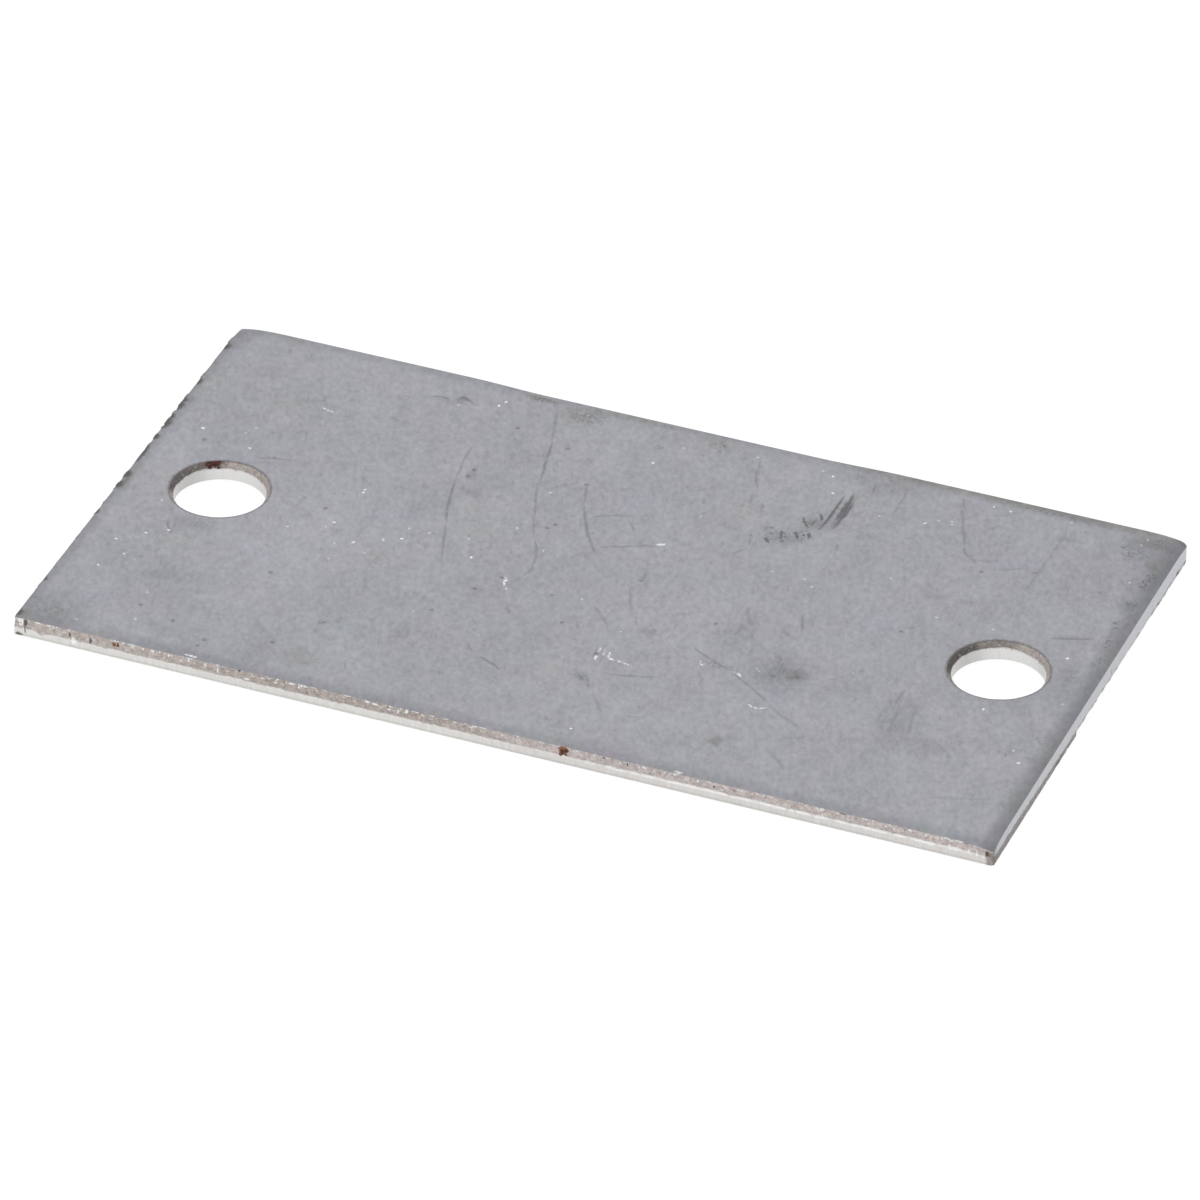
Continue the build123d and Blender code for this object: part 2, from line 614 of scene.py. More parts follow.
# Moves every vertex into place, and tells which ring of an edge or a hole it is on
def placeVertices(shape):
    tear = shape.verts.layers.float.new("torn")
    rings = {}
    for vertex in shape.verts:
        x, y, z = vertex.co
        if abs(x) > gridX - near or abs(y) > gridY - near:
            ring, vertex[tear] = placeEdgeVertex(vertex)
            rings[vertex.index] = ("edge", ring)
        elif abs(hypot(abs(x) - holeMiddles[1], y) - hole["collarRadius"]) < near:
            ring, vertex[tear] = placeHoleVertex(vertex, holeMiddles[1] if x > 0 else holeMiddles[0])
            rings[vertex.index] = ("hole", ring)
        else:
            vertex.co.z -= cornerDrop(x, y) * z / topFace
    return rings


# Slots: top skin, underside skin, sheared walls of four sides, punched walls
def slotOf(face, rings):
    centre = middleOf(face)
    kinds = [rings.get(vertex.index) for vertex in face.verts]
    if all(kinds):
        first = min(kind[1] for kind in kinds)
        last = max(kind[1] for kind in kinds)
        wallStart = len(plate["insets"])
        wallEnd = wallStart + plate["wallSteps"]
        if kinds[0][0] == "edge" and wallStart <= first < last <= wallEnd:
            if halfLength - abs(centre.x) > halfWidth - abs(centre.y):
                return 2 if centre.y < 0 else 4
            return 3 if centre.x > 0 else 5
        if kinds[0][0] == "hole" and rimRing <= first < last < holeRings:
            return 6 if centre.x < 0 else 7
    return 0 if centre.z > topFace / 2 else 1


def makePlate():
    piece = roughOut()
    shape = bmesh.from_edit_mesh(piece.data)
    rings = placeVertices(shape)
    for face in shape.faces:
        face.material_index = slotOf(face, rings)
    bmesh.update_edit_mesh(piece.data)
    bpy.ops.mesh.select_all(action="SELECT")
    bpy.ops.mesh.normals_make_consistent(inside=False)
    bpy.ops.object.mode_set(mode="OBJECT")
    piece.scale = (mm, mm, mm)
    bpy.ops.object.transform_apply(location=True, rotation=True, scale=True)
    bpy.ops.object.shade_smooth_by_angle(angle=radians(38))
    print("plate shaped:", len(piece.data.polygons), "faces")
    return piece


# Everything below is in millimetres on the plate, seen from above with the front edge below

skin = {
    "colour": (0.392, 0.395, 0.423),
    "cast": 0.032,               # how far the grey wanders towards pink or green
    "grainTurn": 21,             # degrees the rolling grain leans from the short sides
    "grainStretch": 1.75,
    "stainBrown": (0.235, 0.222, 0.185),
    "stainDark": (0.105, 0.108, 0.112),
    "rim": (0.13, 0.125, 0.12),
    "rimDark": 0.92,
    "bitDark": 1.6,              # above 1, so that a bit is flat in the middle
    # Near white of the painted highlights
    "bright": (0.88, 0.89, 0.90),
    "roughness": 0.46,
    "roughSpan": 0.08,
    "bumpReach": 0.012,
    "edgeShade": {"right": 0.66, "left": 0.86, "front": 0.87, "back": 0.9},
    "markSpread": 1.005,         # the marks below were read along a plate this much longer
}

# How the places of the marks are stirred: the grain's scale, and its reach in mm
stirs = {"frayed": (4.2, 0.36), "loose": (0.8, 1.3), "steady": (0.7, 0.3)}

# How wide each kind of mark is, as half its width or its radius, and how strong
marks = {
    "faint": (0.28, 0.20),
    "medium": (0.22, 0.29),
    "strong": (0.22, 0.40),
    "deep": (0.22, 0.72),
    "pit": (0.32, 0.45),
    "weakGlint": (0.17, 0.5),
    "strongGlint": (0.20, 0.95),
    "glintStroke": (0.18, 0.85),
}

# Scratches as start, a point on the way, and end
deepScratches = (
    ((16.2, 22.3), (16.25, 19.2), (16.0, 15.0)),
    ((16.9, 23.2), (17.2, 19.9), (17.4, 16.1)),
    ((16.9, 21.4), (16.95, 19.4), (17.0, 17.4)),
    ((17.4, 21.0), (17.5, 19.4), (17.5, 18.0)),
    ((15.1, 18.3), (15.4, 17.8), (15.8, 17.0)),
    ((13.8, 17.1), (14.2, 16.4), (15.0, 15.4)),
    ((14.0, 14.6), (14.3, 13.9), (14.8, 13.2)),
    ((15.3, 14.8), (15.5, 14.3), (15.7, 13.7)),
    ((12.75, 14.1), (12.9, 13.6), (13.1, 13.0)),
    ((11.7, 12.4), (12.0, 12.0), (12.4, 11.6)),
)
strongScratches = (
    ((-6.4, -16.75), (-4.9, -17.25), (-3.4, -18.2)),
    ((11.8, -7.5), (14.2, -8.8), (16.8, -10.0)),
    ((-19.8, 10.6), (-18.9, 6.8), (-17.6, 2.6)),
    ((-13.6, 20.4), (-12.6, 16.0), (-11.9, 12.4)),
    ((-6.7, 11.4), (-4.9, 7.4), (-2.0, 3.0)),
    ((-42.6, -6.8), (-42.2, -7.8), (-41.4, -8.9)),
    ((-27.6, 22.7), (-26.6, 23.1), (-25.4, 22.9)),
    ((-24.9, 23.9), (-23.8, 23.6), (-22.8, 22.9)),
)
mediumScratches = (
    ((-15.4, 26.0), (-14.4, 23.0), (-13.4, 19.4)),
    ((27.3, 24.9), (28.7, 21.4), (30.1, 18.1)),
    ((29.9, 18.4), (30.5, 17.1), (31.3, 16.5)),
    ((-12.2, 13.6), (-11.0, 9.4), (-8.7, 3.3)),
    ((-9.0, 3.9), (-7.6, 1.2), (-7.1, -1.2)),
    ((-7.1, -0.6), (-7.2, -1.6), (-7.5, -2.8)),
    ((-20.4, 17.3), (-20.25, 14.0), (-19.7, 10.2)),
    ((-17.8, 3.2), (-16.8, 0.2), (-15.5, -3.6)),
    ((-7.7, 14.5), (-7.2, 12.9), (-6.6, 11.0)),
    ((-2.8, 4.5), (-0.5, 5.6), (1.7, 6.6)), ((1.0, 6.5), (1.9, 6.7), (2.8, 6.8)),
    ((-1.7, 10.2), (-1.0, 9.4), (-0.2, 8.2)),
    ((-5.3, 8.9), (-3.6, 10.1), (-1.6, 10.7)),
    ((6.5, 25.0), (7.1, 22.0), (8.1, 19.6)),
    ((7.8, 19.2), (8.0, 18.2), (8.3, 17.1)),
    ((9.3, 17.9), (9.6, 17.0), (9.8, 16.1)),
    ((26.9, 26.4), (27.3, 25.4), (27.8, 24.2)),
    ((-39.4, 6.2), (-37.4, 6.8), (-34.9, 7.4)),
    ((16.6, -9.9), (18.7, -11.2), (22.2, -13.8)),
    ((5.4, -14.9), (8.0, -14.4), (11.1, -13.4)),
    ((3.2, -15.4), (3.8, -16.1), (4.6, -16.7)),
    ((4.5, -15.8), (5.0, -16.8), (5.4, -17.8)),
    ((3.2, 2.5), (3.4, 1.6), (3.5, 0.6)),
    ((10.1, 12.5), (10.5, 11.5), (10.7, 10.2)),
    ((0.1, -7.5), (0.45, -8.2), (0.8, -9.0)),
    ((18.6, 14.2), (18.75, 13.4), (18.9, 12.6)),
    ((21.5, 25.8), (21.65, 23.0), (21.65, 20.0)),
    ((-9.2, 18.8), (-8.8, 18.2), (-8.2, 17.6)),
    ((-8.0, -15.1), (-7.7, -15.6), (-7.3, -16.2)),
    ((18.3, 25.1), (18.5, 24.2), (18.8, 23.2)),
    ((19.6, 1.8), (20.1, 0.5), (20.8, -1.8)),
    ((33.2, -6.4), (33.1, -7.8), (33.2, -9.2)),
    ((42.4, 6.6), (44.8, 7.4), (47.2, 8.5)),
)
faintScratches = (
    ((-10.8, 12.2), (-9.4, 13.4), (-8.2, 14.2)),
    ((-4.4, 14.2), (-3.7, 15.0), (-2.9, 15.4)),
    ((-4.4, 1.7), (-4.0, 2.6), (-3.4, 3.4)),
    ((31.2, 16.4), (32.6, 16.6), (34.2, 17.5)), ((34.1, 15.5), (35.4, 16.2), (37.2, 17.1)),
    ((30.9, 17.0), (31.4, 16.4), (32.2, 15.7)),
    ((0.7, 18.8), (2.0, 17.2), (3.7, 18.4)),
    ((40.6, -22.2), (43.8, -21.3), (47.3, -20.0)),
    ((24.0, -20.4), (25.8, -21.6), (27.5, -23.3)),
    ((21.8, -13.5), (23.6, -14.8), (26.6, -16.2)),
    ((5.8, -17.7), (7.2, -20.0), (8.8, -22.6)),
    ((10.1, -20.7), (11.1, -20.5), (12.1, -20.0)),
    ((33.6, -8.8), (33.9, -11.6), (34.5, -14.8)),
    ((35.2, -8.0), (35.5, -11.0), (36.2, -14.4)),
    ((-28.3, 7.3), (-27.9, 6.9), (-27.5, 6.3)),
    ((13.6, 4.1), (13.9, 3.3), (14.1, 2.5)),
    ((14.2, 1.2), (15.0, -0.6), (16.1, -2.4)),
    ((16.0, -2.2), (17.0, -4.8), (17.7, -7.4)),
    ((2.7, 0.1), (3.5, -2.2), (4.6, -4.6)),
    ((38.3, 25.6), (38.25, 20.0), (37.9, 12.0)),
    ((10.7, 10.0), (10.2, 9.2), (10.0, 8.2)),
    ((0.7, -4.7), (1.8, -5.8), (3.3, -7.5)),
)

# Scuffs of many fine lines side by side, and trails of dark crumbs
scuffs = (
    (17.2, 20.2, 0.7, 3.4, 0.8), (17.2, 17.2, 0.5, 2.0, 0.7), (16.2, 18.4, 0.5, 3.6, 0.5),
    (15.0, 16.4, 1.1, 1.5, 0.5),
    (18.5, 24.2, 0.9, 1.8, 0.3), (14.9, -3.4, 2.6, 6.0, 0.18), (33.8, -11.0, 2.2, 6.0, 0.22),
    (-39.8, -14.2, 3.6, 3.0, 0.14), (3.9, -11.9, 1.4, 1.2, 0.3), (-14.4, -15.6, 0.9, 3.4, 0.18),
    (21.0, -7.8, 3.0, 4.6, 0.2), (-39.8, -6.8, 3.6, 2.4, 0.16),
)
crumbTrails = (
    (14.8, 14.0, 1.4, 1.5, 0.9), (13.0, 13.2, 1.3, 1.2, 0.8), (12.0, 12.1, 0.9, 0.8, 0.9),
    (11.4, 13.8, 1.0, 0.9, 0.4), (-11.8, 25.2, 2.8, 2.2, 0.55), (-17.0, 26.4, 2.4, 0.6, 0.75),
    (2.0, 25.6, 1.4, 1.3, 0.5), (48.3, 19.6, 1.0, 3.0, 0.75), (45.6, 23.4, 2.6, 2.4, 0.42),
    (48.4, 14.6, 0.7, 1.8, 0.6),
    (36.0, 26.7, 9.0, 0.9, 0.3), (46.8, 1.4, 1.2, 2.2, 0.35), (47.4, 25.6, 1.6, 1.2, 0.4),
    (48.0, 11.2, 0.7, 1.6, 0.5), (48.2, 8.0, 0.7, 2.0, 0.55), (48.5, 4.8, 0.6, 1.6, 0.45),
    (-22.2, -17.2, 0.6, 1.0, 0.6), (-3.4, 22.9, 1.0, 0.7, 0.34), (7.6, -6.7, 1.6, 0.9, 0.35),
    (15.6, -9.6, 3.4, 0.9, 0.45), (-24.2, 23.3, 1.3, 0.8, 0.45), (-26.4, 22.9, 1.4, 0.7, 0.4),
    (22.6, -8.4, 1.5, 1.3, 0.4), (4.2, -16.1, 1.2, 1.0, 0.4), (-47.0, -25.0, 3.0, 2.6, 0.22),
)

# Small dark pits
pits = (
    (-30.0, -11.3), (-45.0, 7.3), (-39.3, -21.1), (-35.4, -22.4), (-31.4, -24.2), (-31.6, -25.3),
    (-29.4, 0.8), (-13.3, -11.3), (-10.9, -6.4), (-1.0, -8.5), (-9.2, -3.7), (3.4, 0.9), (-7.6, 14.2),
    (-7.8, 6.6), (-8.3, 5.8), (-18.6, 12.4), (-18.8, 11.2), (29.4, 2.4), (44.3, 23.9), (47.8, 11.5),
    (-17.5, 20.8), (3.9, -12.0), (37.9, 16.6), (33.0, 14.8), (-37.4, 6.9), (20.8, -9.2), (23.0, -8.5),
    (-11.6, 19.3), (12.6, -3.1), (11.7, 14.2), (13.4, 12.4), (-25.3, -22.1),
    (-3.6, -4.6), (48.1, 18.2), (47.9, 15.0), (12.0, 13.2),
)

# Nicks that glint, as painted highlights: spots painted near white into the colour
strongGlints = (
    (-45.9, 9.1), (-40.3, 7.6), (-27.15, 5.2), (-27.1, 4.7), (-20.7, 23.8), (-20.3, 24.7), (3.1, 7.5),
    (14.0, 24.7), (15.0, 22.0), (30.3, 25.7), (32.1, 25.6), (25.1, 20.5), (45.6, 4.2),
    (41.1, -6.7), (47.15, -13.7), (-43.8, -9.7), (-41.95, -8.45), (-46.0, -11.7), (-45.8, -16.4),
    (-27.7, -1.1), (-24.7, -3.6), (-20.6, -1.2), (-13.2, -1.6), (-8.1, -5.3), (6.3, -24.5), (-8.6, -4.0),
    (-3.0, 20.2),
)
weakGlints = (
    (-41.7, 9.9), (-41.1, 11.1), (-35.9, 16.7), (-24.4, 22.4), (-18.5, 0.7), (-7.2, 2.1), (-10.3, 11.6),
    (-1.2, 23.8), (12.8, 25.2), (14.4, 7.2), (4.6, 13.4), (6.1, 25.0), (38.2, 26.0),
    (27.4, 21.8), (27.6, 21.3), (26.2, 21.4), (20.6, 20.0), (25.4, 10.4), (46.8, 18.5), (37.4, 6.1),
    (31.7, 5.9), (18.9, 6.2), (17.8, 7.1), (46.0, -12.0), (47.7, -3.1), (-44.6, -4.0), (-44.3, -13.8),
    (-39.6, -18.9), (-38.8, -23.5), (-44.0, -25.6), (-28.2, -2.1), (-31.6, -3.5), (-23.0, -4.8),
    (-22.2, -2.0), (-25.8, -7.0), (-26.3, -4.4), (-0.7, -4.2), (-14.8, -12.1), (4.7, -7.8), (19.3, -8.9),
    (18.9, -8.6), (45.7, 24.9), (46.0, 26.0), (-20.6, 0.7), (-14.6, 1.2), (-22.1, -2.2), (-11.0, 4.7),
    (2.6, 7.2),
)
# Short strokes that glint, also painted highlights in near white
glintStrokes = (
    ((17.7, -27.15), (18.2, -27.2), (18.7, -27.25)), ((-32.3, -27.1), (-31.5, -27.1), (-30.8, -27.15)),
    ((4.9, -12.0), (5.3, -12.3), (6.0, -12.5)), ((2.4, 7.2), (2.8, 7.3), (3.2, 7.4)),
    ((5.9, -12.35), (6.9, -12.6), (8.0, -12.75)),
    ((-8.85, -3.3), (-8.7, -4.2), (-8.2, -5.2)),
    ((16.9, -10.1), (17.6, -10.1), (18.2, -10.8)),
    ((13.6, -9.3), (13.7, -9.9), (14.4, -9.9)),
    ((20.0, -14.2), (21.0, -14.7), (22.3, -14.1)),
    ((3.85, -10.9), (3.95, -11.4), (4.0, -12.0)),
    ((4.45, -11.0), (4.55, -11.6), (4.65, -12.2)),
    ((5.0, -11.3), (5.15, -11.8), (5.3, -12.3)),
    ((4.1, -12.3), (4.1, -12.8), (4.2, -13.2)),
    ((-36.6, 17.0), (-35.9, 16.7), (-35.1, 16.5)),
)

# Soft patches: middle, half width, half depth, and how much darker (or, below zero, lighter)
smudges = (
    (48.5, 22.0, 3.2, 6.5, 0.16), (46.0, 25.5, 3.5, 2.4, 0.12), (21.0, -8.6, 4.4, 5.4, 0.16),
    (22.8, -8.4, 1.6, 1.8, 0.12), (15.4, -3.6, 3.2, 6.0, 0.05), (-46.5, -25.4, 5.0, 4.6, 0.10),
    (42.5, -1.0, 7.0, 8.0, 0.06), (46.8, -1.0, 2.2, 3.4, 0.10), (-39.6, -15.8, 3.4, 1.6, 0.10),
    (-39.9, -10.7, 1.3, 1.0, 0.08), (-32.9, -10.7, 1.2, 1.0, 0.06), (-40.0, -6.6, 3.8, 2.4, 0.08),
    (34.0, -11.0, 3.0, 6.4, 0.09), (37.5, -14.6, 4.4, 2.4, 0.08), (16.4, 17.2, 1.6, 3.0, 0.10),
    (15.0, 16.0, 1.6, 1.8, 0.12), (13.4, 13.0, 2.4, 1.8, 0.12), (17.2, 20.0, 0.7, 3.2, 0.2),
    (19.6, -21.2, 0.9, 0.9, 0.14), (-26.0, -23.6, 2.4, 3.4, 0.10), (-10.6, -21.6, 3.6, 4.0, 0.03),
    (4.2, -16.2, 1.0, 1.0, 0.12), (-14.5, -15.0, 1.2, 3.6, 0.06), (-18.7, 11.9, 0.7, 1.9, 0.14),
    (-17.2, 8.8, 1.4, 1.4, 0.12), (-20.4, 4.0, 2.6, 2.6, 0.06), (-16.5, 14.0, 4.5, 8.0, 0.05),
    (20.0, 25.4, 5.0, 2.4, 0.09), (-29.0, -4.0, 9.0, 20.0, -0.05), (-46.2, 3.0, 2.6, 9.0, -0.05),
    (44.8, 7.4, 2.4, 0.9, 0.09), (-24.2, 23.4, 1.3, 1.0, 0.14), (0.8, 6.8, 1.4, 0.8, 0.10),
    (-1.0, 22.8, 1.2, 1.6, -0.08),
    (44.0, 18.0, 6.5, 9.0, 0.06), (48.0, 16.6, 2.0, 5.6, 0.11), (46.6, 24.0, 3.0, 3.4, 0.07),
    (47.9, 25.6, 2.2, 2.4, 0.12),
    (47.6, 14.6, 1.3, 2.0, 0.08), (48.3, 9.0, 1.2, 6.0, 0.08), (46.6, 1.6, 1.5, 2.2, 0.10),
    (44.2, -5.4, 2.2, 1.8, 0.07),
    (39.5, 27.2, 8.0, 1.8, 0.07), (6.0, 26.0, 26.0, 3.4, 0.03), (-48.6, 25.8, 2.0, 2.6, 0.12),
    (39.0, 23.2, 2.0, 0.9, 0.08), (7.4, -6.8, 1.6, 0.9, 0.07),
    (5.4, -3.0, 1.6, 0.7, 0.05), (-22.2, -17.1, 0.7, 0.9, 0.12), (-4.0, 9.0, 3.2, 3.0, 0.04),
)
brownStains = (
    (-12.4, 25.2, 3.6, 2.6, 0.5), (-17.2, 26.5, 2.6, 0.7, 0.8), (-8.0, 26.7, 9.0, 0.8, 0.5),
    (1.8, 25.6, 1.5, 0.9, 0.9), (2.6, 24.8, 1.0, 1.0, 0.4), (48.1, 22.0, 1.1, 2.4, 0.6),
    (46.0, 25.8, 3.4, 1.8, 0.35), (45.0, 22.8, 1.5, 1.6, 0.35), (19.6, 26.7, 1.6, 0.6, 0.5),
    (22.8, -8.4, 1.3, 1.2, 0.35), (-46.8, -25.2, 4.6, 4.4, 0.22), (-21.8, -23.6, 3.0, 3.4, 0.26),
    (19.6, -21.2, 0.8, 0.8, 0.4), (48.4, 14.8, 0.7, 0.9, 0.4), (-48.8, 13.0, 1.0, 2.0, 0.35),
    (-48.8, 23.6, 0.7, 1.2, 0.3), (-49.1, -2.4, 0.9, 2.2, 0.8), (-48.9, -26.4, 1.1, 1.0, 0.6),
    (-24.3, 23.4, 1.0, 0.9, 0.3), (3.9, -12.1, 0.5, 0.7, 0.5),
)

# Dark bits of burr over the left rim, as place along it, half length, how far in
leftBits = (
    (23.4, 0.91, 0.935), (16.6, 1.04, 0.714), (13.0, 0.91, 0.714), (11.9, 1.17, 0.85), (9.9, 0.78, 0.782),
    (8.6, 1.56, 0.935), (6.0, 0.78, 0.782), (2.9, 2.86, 0.612), (-1.0, 1.04, 0.935), (-3.0, 1.04, 0.935),
    (-8.0, 0.78, 0.51), (-20.5, 0.78, 0.51), (-26.6, 0.91, 0.765),
)


# Strongest in the middle of the nearest stroke and nothing at its edge, with pointed ends
def strokes(sheet, flat, lines, kind):
    reach, strength = marks[kind]
    nearest = None
    for start, onTheWay, end in lines:
        first, between, last = Vector(start), Vector(onTheWay), Vector(end)
        half = (last - first).length / 2
        along = (last - first).normalized()
        across = Vector((-along.y, along.x))
        middle = (first + last) / 2
        share = (between - middle).dot(along) / half
        bow = (between - middle).dot(across) / (1 - share * share) / reach
        way = sheet.dot(flat, (along.x / half, along.y / half, -middle.dot(along) / half))
        aside = sheet.dot(flat, (across.x / reach, across.y / reach, -middle.dot(across) / reach - bow))
        square = way * way
        offset = square.timesPlus(bow, aside)
        field = offset.timesPlus(offset, square * square)
        nearest = field if nearest is None else nearest.least(field)
    return sheet.fade(nearest, 1.0, 0.0) * strength


def dots(sheet, flat, places, kind):
    radius, strength = marks[kind]
    nearest = None
    for x, y in places:
        distance = sheet.vector("DISTANCE", flat, (x, y, 1), output="Value")
        nearest = distance if nearest is None else nearest.least(distance)
    return sheet.fade(nearest, radius, radius * 0.35) * strength


def patch(sheet, flat, x, y, reachX, reachY):
    scaled = sheet.vector("MULTIPLY_ADD", flat, (1 / reachX, 1 / reachY, 0), (-x / reachX, -y / reachY, 0))
    return sheet.fade(sheet.length(scaled), 1.0, 0.0)


# The place on the piece in millimetres
def measured(sheet):
    place = sheet.wire("ShaderNodeTexCoord", "Object", {}, {})
    return sheet.scaled(place, 1 / mm)


def shifted(sheet, place, scale, reach):
    stir = sheet.grain(place, scale, detail=1.0, output="Color")
    return sheet.vector("ADD", place, sheet.scaled(sheet.vector("SUBTRACT", stir, (0.5, 0.5, 0.5)), reach))


def finished(sheet, colour, roughness, height, bumpReach):
    bump = sheet.wire(
        "ShaderNodeBump", 0, {}, {"Strength": 1.0, "Distance": bumpReach * mm, "Height": height}
    )
    surface = sheet.wire(
        "ShaderNodeBsdfPrincipled",
        0,
        {},
        {"Base Color": colour, "Metallic": 1.0, "Roughness": roughness, "Normal": bump},
    )
    sheet.node("ShaderNodeOutputMaterial", {}, {"Surface": surface})
    return sheet.owner


# The plate's place turned and drawn out along the rolling grain
def alongGrain(sheet, place, stretch):
    turn = radians(skin["grainTurn"])
    crosswise = (cos(turn), sin(turn), 0)
    lengthwise = (-sin(turn) / stretch, cos(turn) / stretch, 0)
    turned = {0: sheet.dot(place, crosswise), 1: sheet.dot(place, lengthwise)}
    return sheet.wire("ShaderNodeCombineXYZ", 0, {}, turned)


# Mottling of the rolled sheet, as a share either side of 1
def mottling(sheet, place):
    rolled = alongGrain(sheet, place, skin["grainStretch"])
    fine = sheet.grain(rolled, 1.9, detail=3.0, roughness=0.66) - 0.5
    cloudy = sheet.grain(rolled, 0.62, detail=2.0, roughness=0.6) - 0.5
    broad = sheet.grain(place, 0.13, detail=2.0) - 0.5
    return fine * 0.44 + cloudy * 0.22 + broad * 0.14 + 1


# The grey shaded by its tone, wandering a little in hue
def greySteel(sheet, place, tone):
    cast = sheet.grain(place, 0.2, detail=2.0, output="Color")
    cast = sheet.scaled(sheet.vector("SUBTRACT", cast, (0.5, 0.5, 0.5)), skin["cast"])
    return sheet.vector("ADD", sheet.scaled(skin["colour"], tone), cast)


def smudged(sheet, flat, tone):
    for x, y, reachX, reachY, depth in smudges:
        tone = patch(sheet, flat, x, y, reachX, reachY).timesPlus(-depth, tone)
    return tone


# Soft dark flecks drawn out along the grain, and tiny light ones
def flecked(sheet, place, tone):
    rolled = alongGrain(sheet, place, 2.6)
    flecks = sheet.fade(sheet.grain(rolled, 1.25, detail=3.0, roughness=0.6), 0.61, 0.72)
    sparks = sheet.fade(sheet.grain(place, 2.6, detail=2.0, roughness=0.6), 0.68, 0.76)
    return tone - flecks * 0.11 + sparks * 0.12


# Painted shade: darker towards the sheared edges, where the rolled shoulders mirror the darker room low
# down, most of all where the right one is drawn down
def edgeShaded(sheet, x, y, tone):
    shade = skin["edgeShade"]
    tone = tone * sheet.fade(x, halfLength - 2.2, halfLength - 0.1, 1.0, shade["right"])
    tone = tone * sheet.fade(x, 0.2 - halfLength, 1.6 - halfLength, shade["left"], 1.0)
    tone = tone * sheet.fade(y, 0.2 - halfWidth, 2.2 - halfWidth, shade["front"], 1.0)
    return tone * sheet.fade(y, halfWidth - 1.8, halfWidth - 0.2, 1.0, shade["back"])


def brownMarks(sheet, flat, x, y):
    blotchy = sheet.fade(sheet.grain(flat, 0.9, detail=3.0, roughness=0.6), 0.36, 0.6, 0.2, 1.0)
    stained = sheet.fade(y, halfWidth - 1.5, halfWidth - 0.3) * sheet.fade(x, 10.0, 20.0) * 0.5
    for stainX, stainY, reachX, reachY, depth in brownStains:
        stained = stained.most(patch(sheet, flat, stainX, stainY, reachX, reachY) * depth)
    return stained * blotchy


# Scratches, a few faint wandering lines, scuffs, crumbs and pits
def darkMarks(sheet, place, steady, frayed):
    uneven = sheet.fade(sheet.grain(steady, 1.1, detail=2.0), 0.3, 0.62, 0.6, 1.0)
    dark = strokes(sheet, steady, faintScratches, "faint")
    dark = dark.most(strokes(sheet, steady, mediumScratches, "medium"))
    dark = dark.most(strokes(sheet, steady, strongScratches, "strong"))
    dark = (dark * uneven).most(strokes(sheet, frayed, deepScratches, "deep"))
    wandering = (sheet.grain(steady, 0.34, detail=2.0) - 0.5).size()
    fewer = sheet.fade(sheet.grain(place, 0.3, detail=1.0), 0.46, 0.6)
    dark = dark.most(sheet.fade(wandering, 0.010, 0.002) * fewer * 0.14)
    for areas, stretch, sparse in ((scuffs, (5.0, 0.45, 0), 0.46), (crumbTrails, (4.6, 2.3, 0), 0.48)):
        stretched = sheet.vector("MULTIPLY", frayed, stretch)
        brokenUp = sheet.fade(sheet.grain(stretched, 1.0, detail=2.0), sparse, 0.6)
        for x, y, reachX, reachY, depth in areas:
            dark = dark.most(patch(sheet, steady, x, y, reachX, reachY) * brokenUp * depth)
    return dark.most(dots(sheet, frayed, pits, "pit"))


# Painted highlights: the glints of nicks and short strokes, as a share of near white
def paintedGlints(sheet, steady, frayed):
    glint = dots(sheet, frayed, weakGlints, "weakGlint")
    glint = glint.most(dots(sheet, frayed, strongGlints, "strongGlint"))
    broken = sheet.fade(sheet.grain(steady, 3.4, detail=2.0), 0.42, 0.56, 0.2, 1.0)
    return glint.most(strokes(sheet, frayed, glintStrokes, "glintStroke") * broken)


# A dark line along the left rim and round the holes
def darkRims(sheet, place, frayed, x):
    nearRim = sheet.vector("MULTIPLY", frayed, (1, 1, 0))
    oneSide = sheet.vector("ABSOLUTE", nearRim)
    reach = sheet.vector("DISTANCE", oneSide, (holeMiddles[1], 0, 0), output="Value")
    rimmed = sheet.fade(reach, hole["rimRadius"] + 0.28, hole["rimRadius"] + 0.02, 0.0, 0.62)
    spotty = sheet.fade(sheet.grain(place, 0.8, detail=3.0), 0.42, 0.6, 0.15, 0.7)
    rimmed = rimmed.most(sheet.fade(x, 0.24 - halfLength, 0.06 - halfLength) * spotty)
    for along, half, inward in leftBits:
        rimmed = rimmed.most(patch(sheet, nearRim, -halfLength, along, inward, half) * skin["bitDark"])
    return rimmed.least(skin["rimDark"])


def makeTopSkin():
    sheet = newSheet("millSkin")
    place = measured(sheet)
    rolledIn = mottling(sheet, place)
    spread = (skin["markSpread"], 1, 0)
    frayed = shifted(sheet, place, *stirs["frayed"])
    loose = sheet.vector("MULTIPLY_ADD", shifted(sheet, place, *stirs["loose"]), spread, (0, 0, 1))
    steady = sheet.vector("MULTIPLY_ADD", shifted(sheet, place, *stirs["steady"]), spread, (0, 0, 1))
    spreadFrayed = sheet.vector("MULTIPLY_ADD", frayed, spread, (0, 0, 1))
    x, y = sheet.axis(place, 0), sheet.axis(place, 1)
    tone = edgeShaded(sheet, x, y, flecked(sheet, place, smudged(sheet, loose, rolledIn)))
    glint = paintedGlints(sheet, steady, spreadFrayed)
    colour = greySteel(sheet, place, tone)
    colour = sheet.blend(brownMarks(sheet, loose, x, y), colour, tint(skin["stainBrown"]))
    colour = sheet.blend(darkMarks(sheet, place, steady, spreadFrayed), colour, tint(skin["stainDark"]))
    # The painted highlights go into the colour near white
    colour = sheet.blend(glint, colour, tint(skin["bright"]))
    colour = sheet.blend(darkRims(sheet, place, frayed, x), colour, tint(skin["rim"]))
    rougher = skin["roughness"] + skin["roughSpan"]
    smoother = skin["roughness"] - skin["roughSpan"]
    rough = sheet.fade(tone, 0.8, 1.2, rougher, smoother) - glint * 0.2
    return finished(sheet, colour, rough, rolledIn, skin["bumpReach"])


